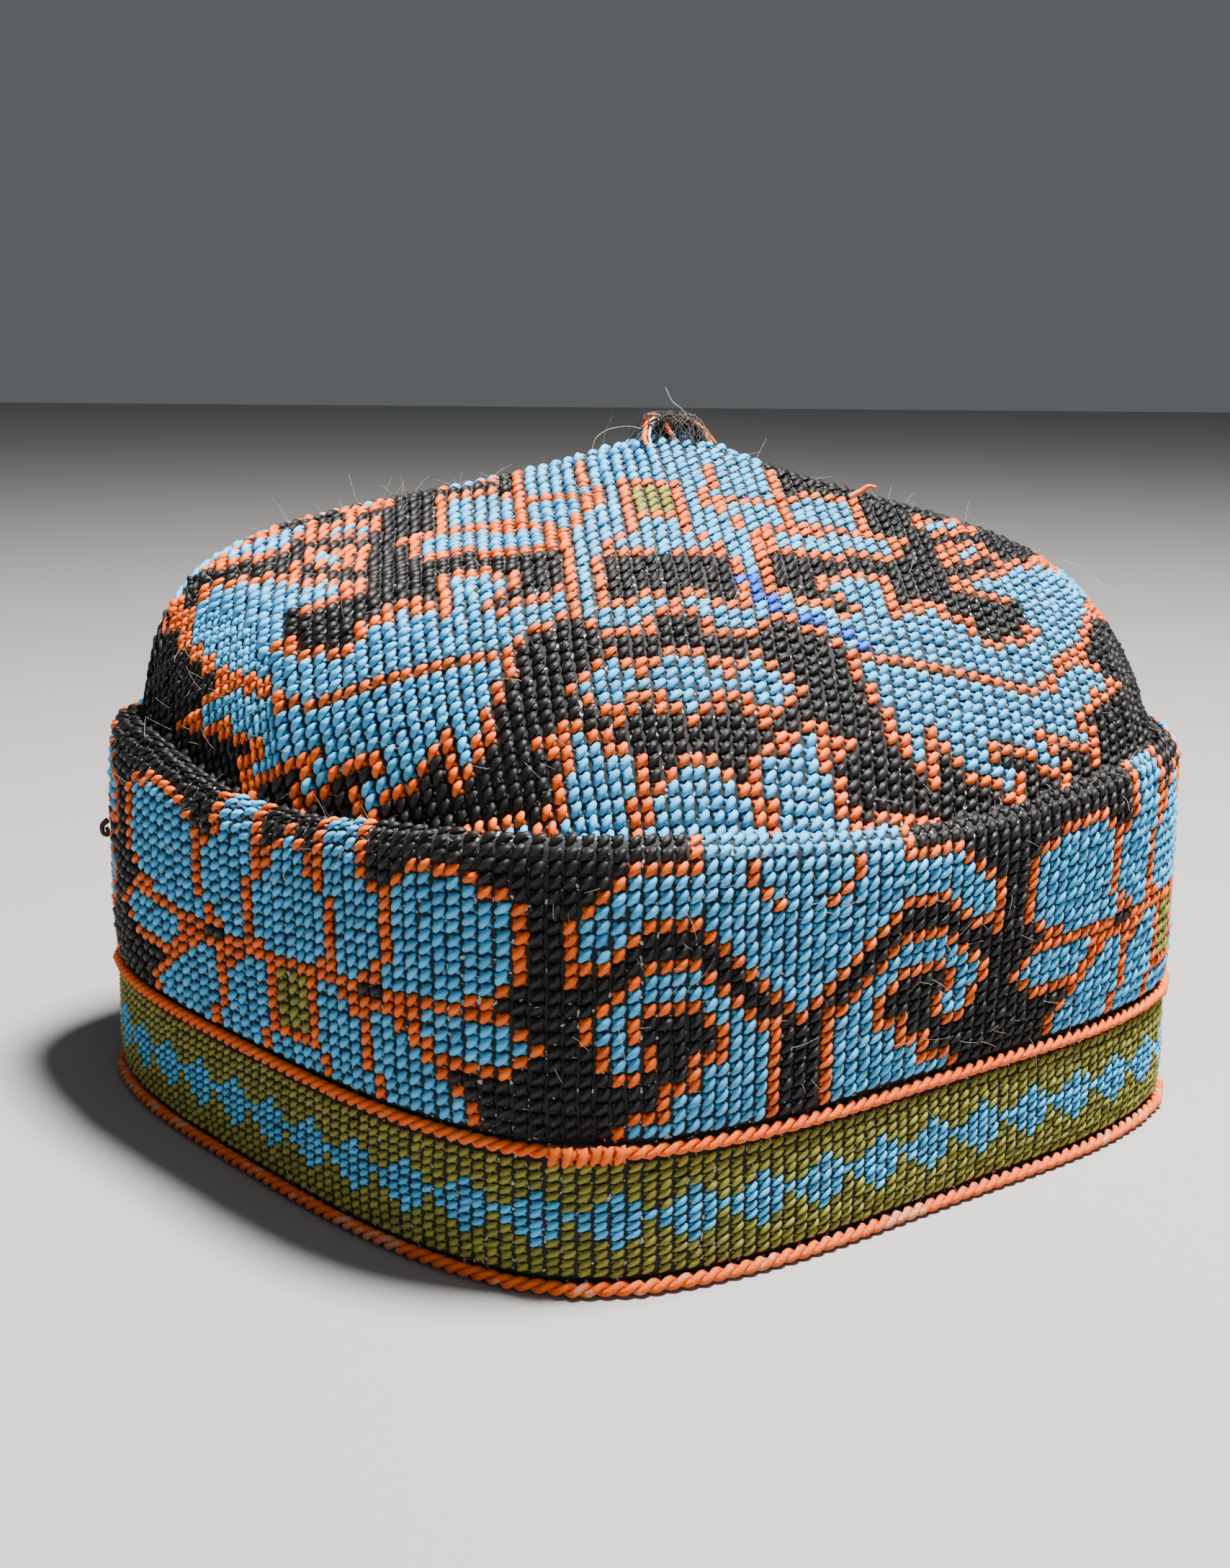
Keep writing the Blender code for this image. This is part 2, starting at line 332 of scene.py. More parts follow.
crown_cloth = make_cloth("crown", crown_outside)
wall_cloth = make_cloth("side_wall", wall_outside)
band_cloth = make_cloth("band", faces_out)
for cloth in (crown_cloth, wall_cloth, band_cloth):
    print(cloth.name, len(cloth.data.polygons), "faces")


# %% A tree of faces to feel the cloth with rays
def tree_of(piece):
    return BVHTree.FromObject(piece, bpy.context.evaluated_depsgraph_get())


bpy.context.view_layer.update()
crown_tree = tree_of(crown_cloth)
wall_tree = tree_of(wall_cloth)
band_tree = tree_of(band_cloth)


# %% [markdown]
# ## One cross stitch
# A cross is two strands of floss: a lower one, `\`, of which only the ends peek out, and a plump
# upper one, `/`. Each strand starts as a sphere with its poles at the strand's ends. It is drawn out,
# fattened towards its upper end and arched, so that its ends sink into the canvas. The cross is one
# stitch wide, and is copied thousands of times, so it has only a few dozen faces.

# %% Model the two strands
FAT_FROM = 0.02
FATTENED = (1.14, 1.10, 1.0)
ARCH_REACHES = (0.42, 0.30)


def select_where(piece, test):
    """Selects, in edit mode, the vertices that pass a test."""
    shape = bmesh.from_edit_mesh(piece.data)
    for vert in shape.verts:
        vert.select = test(vert.co)
    shape.select_flush_mode()
    bmesh.update_edit_mesh(piece.data)


def make_strand(name, sides, rings, length, width, height, slant, lift):
    """One strand over a stitch of size one: it lies at a slant, and z is up from the cloth."""
    deselect()
    bpy.ops.mesh.primitive_uv_sphere_add(segments=sides, ring_count=rings, radius=0.5)
    strand = bpy.context.object
    strand.name = name
    bpy.ops.object.mode_set(mode="EDIT")
    bpy.ops.mesh.select_all(action="SELECT")
    bpy.ops.transform.resize(value=(width, height, length))
    select_where(strand, lambda place: place.z > FAT_FROM)
    bpy.ops.transform.resize(value=FATTENED, center_override=(0.0, 0.0, 0.0))
    for reach in ARCH_REACHES:
        select_where(strand, lambda place: abs(place.z) < reach * length)
        bpy.ops.transform.translate(value=(0.0, lift / 2, 0.0))
    bpy.ops.object.mode_set(mode="OBJECT")
    strand.rotation_euler = (math.radians(90), 0.0, math.radians(90 + slant))
    bpy.ops.object.transform_apply(location=True, rotation=True, scale=True)
    return strand


upper = make_strand(
    "upper_strand", sides=5, rings=5, length=1.34, width=0.56, height=0.42, slant=54, lift=0.16,
)
lower = make_strand(
    "lower_strand", sides=4, rings=3, length=1.28, width=0.52, height=0.30, slant=132, lift=0.05,
)
print("cross:", len(upper.data.vertices), "+", len(lower.data.vertices), "vertices")


# %% Read the strands as arrays
# Painted shade in the floss colour: each strand darkens towards the canvas, and the lower strand, under the
# upper one, is darker still.
DEEP = -0.15
DEEP_TO_TOP = 0.35
DEEPEST_PAINTED_SHADE = 0.36
LOWER_STRAND_PAINTED_SHADE = 0.74
LOWER_SINK = 0.02


def read_strand(strand, shade, sink):
    """A strand's points, corners and own UV map, and the shade painted into its colour, darker towards the
    canvas.
    """
    mesh = strand.data
    points = np.empty(len(mesh.vertices) * 3)
    mesh.vertices.foreach_get("co", points)
    corners = np.empty(len(mesh.loops), int)
    mesh.loops.foreach_get("vertex_index", corners)
    starts = np.empty(len(mesh.polygons), int)
    mesh.polygons.foreach_get("loop_start", starts)
    uv = np.empty(len(mesh.loops) * 2)
    mesh.uv_layers[0].uv.foreach_get("vector", uv)
    points = points.reshape(-1, 3)
    height = np.clip((points[:, 2] - DEEP) / DEEP_TO_TOP, 0.0, 1.0)
    points[:, 2] -= sink
    return {
        "points": points,
        "corners": corners,
        "starts": starts,
        "uv": uv.reshape(-1, 2),
        "shade": shade * (DEEPEST_PAINTED_SHADE + (1 - DEEPEST_PAINTED_SHADE) * height),
    }


cross = [read_strand(upper, 1.0, 0.0), read_strand(lower, LOWER_STRAND_PAINTED_SHADE, LOWER_SINK)]
for strand in (upper, lower):
    bpy.data.objects.remove(strand, do_unlink=True)


# %% [markdown]
# ## Sewing
# `sew` copies the cross over many places at once with array sums, which makes one joined mesh. Each
# place has a middle, a vector across the stitch, a vector up it and the cloth's normal, so crosses
# stretch and lean with the cloth. The floss colour of each cross, times the painted shade of its
# strands, is an attribute of its points. The map "strand" runs along and round each strand for the
# floss's fibres, and "OFBake" gives each cross a cell of its own.

# %% Floss
FLOSS_RGB = {
    "B": (0.078, 0.460, 0.820),
    "O": (0.860, 0.125, 0.000),
    "K": (0.0055, 0.0050, 0.0050),
    "G": (0.250, 0.240, 0.028),
    "C": (0.010, 0.110, 0.850),
}
FIBRE_STRETCH = (16.0, 1.6, 1.0)
FIBRE_TINT = (0.62, 0.60, 0.62, 1.0)
WHITE = (1.0, 1.0, 1.0, 1.0)


def floss_material():
    """Silky floss: fine fibres along each strand, and a gloss that wear has dulled in places."""
    material, shader = new_material("floss", roughness=0.45, specular=0.32)
    # The "floss" attribute brings the floss colour together with the strands' painted shade.
    colour = Wire.node("ShaderNodeAttribute", {"attribute_name": "floss"}, "Color")
    strand = Wire.node("ShaderNodeUVMap", {"uv_map": "strand"})
    stretch = Wire.node("ShaderNodeMapping", Vector=strand, Scale=FIBRE_STRETCH)
    fibres = Wire.node("ShaderNodeTexNoise", Vector=stretch, Scale=1.0, Detail=2.0)
    place = Wire.node("ShaderNodeTexCoord", output="Object")
    wear = Wire.node("ShaderNodeTexNoise", Vector=place, Scale=260.0, Detail=2.0)
    tint = mix_colour(fibres * 0.55, WHITE, FIBRE_TINT)
    Wire.feed(shader.inputs["Base Color"], mix_colour(1.0, colour, tint, "MULTIPLY"))
    Wire.feed(shader.inputs["Roughness"], 0.36 + 0.25 * wear)
    add_bump(shader, fibres, 0.00022)
    return material


floss = floss_material()


# %% Let chance vary the crosses
JITTER = 0.048
PLUMPNESS = 0.12
LEAN = 0.09
TONE_SPREAD = 0.13
TONE_LIMITS = (-0.25, 0.3)


def vary(places):
    """Middle, across, up and rise of each cross, a little off its place, leaning and more or less plump."""
    middle, across, up, normal = (np.asarray(item) for item in places)
    count = len(middle)
    size = (np.linalg.norm(across, axis=1) + np.linalg.norm(up, axis=1))[:, None] / 2
    middle = middle + across * rng.normal(0, JITTER, (count, 1)) + up * rng.normal(0, JITTER, (count, 1))
    rise = normal * size * (1 + rng.normal(0, PLUMPNESS, (count, 1)))
    lean = rng.normal(0, LEAN, (count, 1))
    return middle, across + up * lean, up - across * lean, rise


def floss_tones(letters):
    """The floss colour of each cross, a little lighter or darker."""
    tone = 1 + np.clip(rng.normal(0, TONE_SPREAD, (len(letters), 1)), *TONE_LIMITS)
    return np.array([FLOSS_RGB[letter] for letter in letters]) * tone


# %% Lay one strand of every cross
BAKE_CELL = (0.9, 0.44)
BAKE_EDGE = (0.05, 0.03)
BAKE_HALF = np.array((0.0, 0.5))


def lay_strand(strand, part, places, tones):
    """Points, colours and both UV maps of one strand in all crosses."""
    count = len(tones)
    middle, across, up, rise = (item[:, None, :] for item in places)
    x, y, z = (strand["points"][None, :, axis:axis + 1] for axis in range(3))
    points = middle + across * x + up * y + rise * z
    # The colours are the floss tones times each strand's painted shade.
    colours = tones[:, None, :] * strand["shade"][None, :, None]
    strand_uv = strand["uv"][None] + rng.random((count, 1, 2)) * (0.0, 1.0)
    cells = math.ceil(math.sqrt(count))
    number = np.arange(count)
    cell = np.stack([number % cells, number // cells], 1)[:, None, :]
    inside = strand["uv"][None] * BAKE_CELL + BAKE_EDGE + BAKE_HALF * part
    bake_uv = (cell + inside) / cells
    return points.reshape(-1, 3), colours.reshape(-1, 3), strand_uv.reshape(-1, 2), bake_uv.reshape(-1, 2)


def strand_faces(count):
    """The point of each corner and the first corner of each face, for all crosses."""
    corners = []
    starts = []
    first_point = 0
    first_corner = 0
    number = np.arange(count)[:, None]
    for strand in cross:
        corners.append((first_point + strand["corners"][None] + number * len(strand["points"])).ravel())
        starts.append((first_corner + strand["starts"][None] + number * len(strand["corners"])).ravel())
        first_point += count * len(strand["points"])
        first_corner += count * len(strand["corners"])
    return np.concatenate(corners), np.concatenate(starts)


# %% Sew crosses into one mesh
def flat(values, kind=np.float32):
    return np.asarray(values).astype(kind).ravel()


def sew(name, places, letters):
    """One mesh of crosses. places holds arrays: middle, across, up, normal."""
    varied = vary(places)
    tones = floss_tones(letters)
    laid = [lay_strand(strand, part, varied, tones) for part, strand in enumerate(cross)]
    points, colours, strand_uv, bake_uv = (np.concatenate(item) for item in zip(*laid))
    corners, starts = strand_faces(len(tones))
    mesh = bpy.data.meshes.new(name)
    mesh.vertices.add(len(points))
    mesh.vertices.foreach_set("co", flat(points))
    mesh.loops.add(len(corners))
    mesh.loops.foreach_set("vertex_index", flat(corners, np.int32))
    mesh.polygons.add(len(starts))
    mesh.polygons.foreach_set("loop_start", flat(starts, np.int32))
    mesh.update(calc_edges=True)
    for layer, uv in (("OFBake", bake_uv), ("strand", strand_uv)):
        mesh.uv_layers.new(name=layer, do_init=False).uv.foreach_set("vector", flat(uv))
    # The "floss" attribute holds the floss colour with the painted shade of the strands.
    tint = mesh.color_attributes.new("floss", "FLOAT_COLOR", "POINT")
    tint.data.foreach_set("color", flat(np.column_stack([colours, np.ones(len(colours))])))
    mesh.materials.append(floss)
    mesh.shade_smooth()
    piece = bpy.data.objects.new(name, mesh)
    bpy.context.scene.collection.objects.link(piece)
    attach(piece, "root")
    print(name, len(tones), "crosses,", len(corners) - 2 * len(starts), "triangles")
    return piece


# %% [markdown]
# ## Charts
# The needlework is counted, so every motif is drawn on a chart of whole stitches. A chart is an array
# of letters, one for each colour of floss. Motifs are outlines with few corners, given in stitches:
# their edge is worked in orange, one stitch wide, and what they enclose is filled with one colour.

# %% Draw outlines on a chart
def line_cells(start, end):
    """The stitches along a straight line between two stitches."""
    steps = math.ceil(max(abs(end[0] - start[0]), abs(end[1] - start[1]), 1))
    share = np.linspace(0, 1, steps + 1)
    columns = np.rint(start[0] + (end[0] - start[0]) * share).astype(int)
    rows = np.rint(start[1] + (end[1] - start[1]) * share).astype(int)
    return list(zip(columns, rows))


def inside_outline(column, row, corners):
    """Whether points lie inside a closed outline, by counting the edges to their right."""
    within = np.zeros(np.shape(column), bool)
    for (x0, y0), (x1, y1) in zip(corners, corners[1:] + corners[:1]):
        if y0 == y1:
            continue
        crosses = (row < max(y0, y1)) & (row >= min(y0, y1))
        within ^= crosses & (column < x0 + (row - y0) * (x1 - x0) / (y1 - y0))
    return within


OFF_CORNER = 0.01


class Chart:
    """Letters on whole stitches, with a first column and row that may be below nought."""

    def __init__(self, columns, rows, ground):
        self.first = (columns[0], rows[0])
        shape = (columns[1] - columns[0] + 1, rows[1] - rows[0] + 1)
        self.cells = np.full(shape, ground)

    def put(self, column, row, letter):
        spot = (column - self.first[0], row - self.first[1])
        if 0 <= spot[0] < self.cells.shape[0] and 0 <= spot[1] < self.cells.shape[1]:
            self.cells[spot] = letter

    def fill(self, corners, letter):
        columns, rows = np.indices(self.cells.shape)
        columns = columns + self.first[0] + OFF_CORNER
        rows = rows + self.first[1] + OFF_CORNER
        within = inside_outline(columns, rows, corners)
        self.cells[within] = letter

    def line(self, corners, letter="O"):
        for start, end in zip(corners, corners[1:]):
            for column, row in line_cells(start, end):
                self.put(column, row, letter)

    def motif(self, corners, letter="B", edge="O"):
        self.fill(corners, letter)
        self.line(corners + corners[:1], edge)

    def at(self, column, row):
        return self.cells[column - self.first[0], row - self.first[1]]


# %% [markdown]
# ## The wall's two panels
# Two panels take turns round the wall. One is an open flower: a leaf over an olive square, with
# leaves fanned out on both sides. The other has a triangle hanging from the rim over a pair of ram's
# horns. Both mirror about their middle, so half of each is charted. Columns count from the panel's
# middle and rows from the rim's crest down; rows above it go over the roll of the rim.

# %% Chart half of each panel
TOP_ROW = -1
LAST_ROW = 20
FLOWER_HALF = 19
HORN_HALF = 17

flower = Chart((0, FLOWER_HALF + 1), (TOP_ROW, LAST_ROW + 1), "K")
flower.motif([(2, 12), (5, 12), (7, 14), (7, 18), (9, 22), (3, 22), (2, 18)])
flower.motif([(7, 13), (10, 13), (11, 15), (13, 17), (17, 22), (9, 22), (7, 18)])
flower.motif([(11, 13), (13, 12), (17, 12), (19, 14), (17, 16), (12, 16)])
flower.motif([(9, 4), (11, 2), (15, 2), (18, 4), (18, 8), (17, 10), (14, 12), (9, 12), (8, 10), (9, 9)])
flower.motif([(3, -3), (7, -3), (7, 3), (9, 5), (9, 9), (8, 10), (6, 12), (5, 12), (4, 10), (3, 6)])
flower.motif([(-4, 1), (0, 1), (2, 3), (3, 5), (4, 7), (4, 10), (3, 11), (2, 12), (-4, 12)])
flower.motif([(-2, 12), (2, 12), (2, 18), (-2, 18)], "G")
flower.fill([(-2, 19), (3, 19), (3, 22), (-2, 22)], "B")
flower.line([(3, 19), (3, 22)])
flower.line([(5, 13), (6, 14)])

horn = Chart((0, HORN_HALF + 1), (TOP_ROW, LAST_ROW + 1), "K")
horn.motif([
    (2, 22), (2, 13), (3, 13), (8, 8), (11, 8), (15, 12), (15, 13), (14, 14), (14, 15), (13, 16), (12, 16),
    (11, 15), (11, 14), (12, 13), (12, 12), (11, 11), (8, 11), (7, 12), (6, 13), (6, 15), (8, 15), (8, 17),
    (10, 17), (10, 19), (12, 19), (13, 20), (13, 22),
])
horn.motif([
    (-1, 12), (0, 13), (8, 5), (11, 5), (14, 8), (16, 9), (16, 5), (12, 1), (8, 1), (8, -3), (-1, -3),
])
horn.line([(4, 1), (4, 2), (2, 4)])
horn.put(0, 13, "O")


# %% Join the panels round the wall
PANELS = [(flower, FLOWER_HALF), (horn, HORN_HALF)] * 3
HALVES = [half for chart, half in PANELS]
WALL_COLUMNS = sum(2 * half + 1 for half in HALVES)
print("wall columns:", WALL_COLUMNS)


def wall_letters():
    """Every column of the wall, from the middle of the first flower, as letters from top to foot."""
    columns = []
    for chart, half in PANELS:
        for column in range(-half, half + 1):
            columns.append([chart.at(abs(column), row) for row in range(TOP_ROW, LAST_ROW + 1)])
    return np.roll(np.array(columns), -FLOWER_HALF, axis=0)


# %% [markdown]
# ## Finding places on the wall
# Columns stand at equal steps round the wall, between a few whose places were read in the
# photograph. In each column a row of rays feels the cloth: level rays up the wall, and then rays
# towards a point inside the roll, turning over the top of the rim. The hits make a path, which is
# divided into equal steps for the rows.

# %% Feel the wall's section
FEEL_FROM = 0.15
FEEL_ABOVE = 0.2
FEEL_ROLL_FROM = 0.03
WALL_FLOWER_ANGLE = math.radians(-124.0)
WALL_MARKS = ((19.5, -92.3), (36.5, -69.6), (53.5, -39.5), (202.5, 194.0))
WALL_MIDDLE = 0.045
WALL_STEP = 0.001
CREST_INSIDE = 0.002
PIVOT_SHARE = 0.8
ROLL_TILTS = np.radians(np.arange(4, 132, 6))
OVER_THE_TOP = 1.5
UP = Vector((0.0, 0.0, 1.0))


def radial(angle):
    return Vector((math.cos(angle), math.sin(angle), 0.0))


def level_hit(tree, angle, height):
    spot, _, _, _ = tree.ray_cast(radial(angle) * FEEL_FROM + UP * height, -radial(angle))
    return spot


def rim_crest(angle):
    """The rim's height, felt from above a little inside the wall's outer face."""
    reach = level_hit(wall_tree, angle, WALL_MIDDLE).xy.length - CREST_INSIDE
    spot, _, _, _ = wall_tree.ray_cast(radial(angle) * reach + UP * FEEL_ABOVE, -UP)
    return spot.z


def wall_path(angle, foot, roll_radius, drop_limit):
    """Points up the wall's outer face and over its roll, down to the crown's seam."""
    crest = rim_crest(angle)
    heights = np.arange(foot, crest - roll_radius, WALL_STEP)
    path = [level_hit(wall_tree, angle, height) for height in heights]
    pivot = path[-1] - radial(angle) * roll_radius * PIVOT_SHARE
    pivot.z = crest - roll_radius
    for tilt in ROLL_TILTS:
        ray = radial(angle) * math.cos(tilt) + UP * math.sin(tilt)
        spot, _, _, _ = wall_tree.ray_cast(pivot + ray * FEEL_ROLL_FROM, -ray)
        if spot is None or (tilt > OVER_THE_TOP and spot.z < crest - drop_limit):
            break
        path.append(spot)
    return np.array(path)


# %% Divide a path into equal steps
def lengths_along(path):
    """How far along a path each of its points lies."""
    return np.concatenate([[0], np.cumsum(np.linalg.norm(np.diff(path, axis=0), axis=1))])


def resample(path, shares):
    """Points at shares of a path's length."""
    length = lengths_along(path)
    wanted = np.asarray(shares) * length[-1]
    return np.stack([np.interp(wanted, length, path[:, axis]) for axis in range(3)], 1)


ROUND_STEPS = 720


def even_angles(tree, height, count, start, marks=()):
    """Angles at equal steps of arc round the cloth, from a start angle and between any marks.

    Each mark gives a column and the angle, in degrees, at which it stands.
    """
    angles = np.linspace(0, 2 * math.pi, ROUND_STEPS + 1) + start
    ring = np.array([level_hit(tree, angle, height) for angle in angles])
    length = lengths_along(ring)
    whole = length[-1] / MM
    print("round the cloth:", round(whole, 1), "mm, stitch", round(whole / count, 2), "mm")
    known = [(0, 0.0)]
    for column, degrees in marks:
        known.append((column, np.interp(math.radians(degrees), angles, length)))
    known.append((count, length[-1]))
    known_columns, known_lengths = zip(*known)
    wanted = np.interp(np.arange(count), known_columns, known_lengths)
    return np.interp(wanted, length, angles)


def grid_places(grid):
    """Middle, across, up and normal of each stitch of a grid that closes on itself in columns."""
    across = (np.roll(grid, -1, axis=0) - np.roll(grid, 1, axis=0)) / 2
    up = np.gradient(grid, axis=1)
    normal = np.cross(across, up)
    normal /= np.linalg.norm(normal, axis=2, keepdims=True)
    return grid, across, up, normal


# %% Sew the wall
WALL_ROWS = LAST_ROW - TOP_ROW + 1
WALL_FOOT_ROOM = 0.0016
WALL_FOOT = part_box("side_wall")[0][2] + WALL_FOOT_ROOM
ROLL_RADIUS = 0.0034
ROLL_DROP = 0.0022
WALL_PIECES = 3

wall_angles = even_angles(wall_tree, WALL_MIDDLE, WALL_COLUMNS, WALL_FLOWER_ANGLE, WALL_MARKS)
row_shares = (np.arange(WALL_ROWS) + 0.5) / WALL_ROWS
wall_grid = np.array([
    resample(wall_path(angle, WALL_FOOT, ROLL_RADIUS, ROLL_DROP), row_shares) for angle in wall_angles
])
wall_chart = wall_letters()[:, ::-1]
wall_places = grid_places(wall_grid)
for part, columns in enumerate(np.array_split(np.arange(WALL_COLUMNS), WALL_PIECES)):
    places = [item[columns].reshape(-1, 3) for item in wall_places]
    sew(f"wall_stitches_{part + 1}", places, wall_chart[columns].ravel())


# %% [markdown]
# ## The band
# Olive ground with a chain of sky-blue diamonds, three stitches wide and joined by two-stitch links.
# The repeat is small enough to chart, as an embroiderer writes it.

# %% Sew the band
BAND_REPEAT = (
    "GGGGG",
    "GGGGG",
    "GGGGG",
    "GBGGG",
    "BBBGG",
    "BBBBB",
    "BBBGB",
    "BBBGG",
    "GBGGG",
    "GGGGG",
    "GGGGG",
    "GGGGG",
)
BAND_COLUMNS = 48 * len(BAND_REPEAT[0])
BAND_LOW = 0.0030
BAND_TOP_ROOM = 0.0018
BAND_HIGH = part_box("band")[1][2] - BAND_TOP_ROOM
BAND_MIDDLE = 0.012

band_angles = even_angles(band_tree, BAND_MIDDLE, BAND_COLUMNS, WALL_FLOWER_ANGLE)
band_shares = (np.arange(len(BAND_REPEAT)) + 0.5) / len(BAND_REPEAT)
band_heights = BAND_LOW + band_shares * (BAND_HIGH - BAND_LOW)
band_grid = np.array([
    [level_hit(band_tree, angle, height) for height in band_heights] for angle in band_angles
])
band_chart = np.array([
    [row[step % len(row)] for row in BAND_REPEAT[::-1]] for step in range(BAND_COLUMNS)
])
band_places = [item.reshape(-1, 3) for item in grid_places(band_grid)]
sew("band_stitches", band_places, band_chart.ravel())


# %% [markdown]
# ## The crown's chart
# The crown is one piece of canvas, worked from the middle outwards, and its left half mirrors its
# right. The chart holds the right front quarter: columns count from the front corner's axis, and rows
# from the peak towards the viewer. A big wing with a hooked head sweeps across the quarter, with a
# toothed leaf below it and small petals above. Three petals stand on the front of the seam.

# %% Chart a quarter of the crown
CROWN_COLUMNS = 44
CROWN_ROWS = 48

crown_chart = Chart((0, CROWN_COLUMNS), (0, CROWN_ROWS), "K")
MIDDLE_FIELD = [
    (-1, -1), (8, -1), (10, 5), (9, 11), (8, 12), (7.4, 16), (7.4, 26), (6, 28), (3, 28.4), (1, 26.4),
    (-1, 26),
]
WING = [
    (7.2, 24), (8.2, 23.4), (9.5, 24), (10.8, 24.3), (12.3, 25), (13.3, 24), (12.5, 23), (11, 22.4),
    (11.2, 21.4), (13.5, 20), (15, 19.6), (16, 20), (16.2, 22), (16.5, 24), (17.5, 22.6), (19.7, 22.3),
    (21, 23), (22.3, 23.8), (23.2, 25.3), (24.5, 25), (26, 24), (27.5, 22.5), (27.4, 20.3),
    (26.5, 19.2), (24.3, 19.2), (22.5, 19.4), (22, 18.5), (23.2, 17.7), (25, 16.2), (27.3, 14.4),
    (29.8, 13), (32, 11.5), (33.5, 11.2), (34.6, 13.2), (34.8, 16), (34, 19), (31.5, 22.7), (29.2, 25),
    (27.5, 27.5), (26, 29), (24.2, 29.1), (20.7, 29.2), (17.7, 29.2), (14.9, 29.1), (12.2, 29),
    (10.7, 27.8), (9, 26.6), (7.2, 26),
]
TOOTHED_LEAF = [
    (12.2, 29), (12, 31), (13, 32), (13.9, 33.8), (14.3, 35.5), (15, 37), (16, 38.5), (16.8, 39.3),
    (16.8, 37), (16.8, 34.8), (18, 35.5), (19, 37), (20.2, 38.1), (22, 38.5), (24.1, 38.7), (23.5, 37),
    (21.5, 35.2), (22.6, 35.1), (24.4, 35.3), (26.4, 35.6), (27.9, 36.6), (27.8, 34.9), (26.5, 33),
    (28.8, 32.8), (30.3, 33.2), (31, 34), (31.2, 32), (30.4, 30.8), (30.2, 29.5), (31.6, 28),
    (33.3, 26.6), (35, 25.4), (33.3, 24.2), (31.6, 23.6), (29.2, 25), (27.5, 27.5), (26, 29),
    (24.2, 29.1), (20.7, 29.2), (17.7, 29.2), (14.9, 29.1),
]
LOBES = [
    (-1, 29.5), (0, 29.5), (1, 30), (2, 31), (2.6, 31.6), (3.4, 31), (4.6, 30.2), (5.5, 30.8),
    (6.5, 31.3), (7.4, 32.3), (7.6, 33.4), (6.8, 34), (5.9, 34.8), (4.7, 35.6), (3.6, 34.4),
    (2.5, 33.6), (1.8, 34.6), (1, 35.4), (0, 36.2), (-1, 36.2),
]
SIDE_PETAL = [
    (11, 36.8), (8.6, 36.4), (7.6, 36.2), (6.5, 37), (5.2, 38), (4.5, 39), (4, 40.3), (4.1, 41.5),
    (5, 43), (5.2, 49), (11.2, 49), (10.8, 43), (10.3, 41.5), (10, 40.3), (9, 39.3), (9, 38.2),
    (10.3, 37.5),
]
MIDDLE_PETAL = [
    (-1, 38.7), (0, 38.7), (1.2, 39.2), (2, 40.3), (3, 41.3), (4, 42.5), (4.9, 44), (5, 49), (-1, 49),
]
OUTER_PETAL = [(12, 44), (13, 41.7), (16, 41.7), (18, 42), (20, 44), (20, 49), (12, 49)]
SHORT_LEAF = [
    (9.5, 12.6), (10, 10), (13, 9), (15.5, 9), (16.5, 11.5), (15.5, 13.6), (12, 14.4), (9.5, 14.4),
]
LONG_LEAF = [
    (8.3, 15), (12, 14.6), (16, 13.6), (18.6, 14.2), (18.4, 16), (15, 17.4), (12, 17.6), (8.3, 18.4),
]
SMALL_LEAVES = (
    [(21.6, 15), (23, 12.8), (26, 12), (27, 13), (24.6, 14.4), (22.4, 15.6)],
    [(20.6, 11.4), (22, 9.6), (26, 9), (25, 10.4), (22.4, 11.6)],
    [(26, 7.6), (31, 7), (35, 8), (32, 9.4), (28, 9.6)],
    [(8.5, -5), (8.5, 3), (12, 5), (17, 6), (21, 8), (25, 7), (30, 6), (36, 7), (36, -5)],
    [(36.5, 9), (36.3, 14.5), (38.3, 17), (40, 22), (46, 20), (46, 8), (38, 7)],
)

crown_chart.fill(MIDDLE_FIELD, "B")
crown_chart.fill([(7, 8), (11, 8), (11, 14.5), (7, 14.5)], "B")
for leaf in SMALL_LEAVES + (SHORT_LEAF, LONG_LEAF, OUTER_PETAL, SIDE_PETAL, MIDDLE_PETAL, LOBES):
    crown_chart.motif(leaf)
crown_chart.motif(TOOTHED_LEAF)
crown_chart.motif(WING)
crown_chart.line([(9.5, 4), (9.5, 10), (8.5, 11.4), (5, 11.4)])
crown_chart.fill([(-1, 20), (5, 20), (5, 25), (2, 25), (1, 26), (-1, 26)], "K")
crown_chart.line([(1, 19), (4, 19)])
crown_chart.line([(5, 6), (5, 9), (4, 10), (4, 12)])
crown_chart.line([(5, 12), (6, 15), (7, 16), (7, 23)])
crown_chart.line([(2, 15), (3, 17), (5, 20), (5, 25), (3, 25), (2, 24), (1, 24), (0, 26)])
crown_chart.line([(0, 26), (1, 26), (2, 28), (5, 28), (6, 27), (7, 26)])
crown_chart.fill([(0.6, 24.6), (2.6, 24.6), (2.6, 26.6), (1.6, 26.6)], "B")
crown_chart.motif([(-2, 9), (2, 9), (2, 14), (-2, 14)], "G")
crown_chart.line([(27, 19), (27, 21)], "K")


COBALT = {(5, 22), (6, 22), (6, 23), (6, 24), (7, 24), (7, 25), (9, 26), (10, 26), (12, 27), (13, 28)}


def crown_letter(column, row):
    """The crown's letter. Left of the middle the chart is mirrored, and a few stitches are cobalt."""
    if (column, row) in COBALT:
        return "C"
    return crown_chart.at(min(abs(column), CROWN_COLUMNS), min(max(row, 0), CROWN_ROWS))


# %% [markdown]
# ## Laying the crown's front
# Canvas drawn over a soft peak runs askew, so counting along the cloth doesn't bring its columns to
# where they lie. Instead, a few sums say where a place of the chart lies in the picture, in pixels.
# The middle column leans to the right, and its rows spread towards the viewer. To the sides the
# columns narrow and the rows droop, each side in its own way. A ray from the camera then carries the
# place to the cloth.

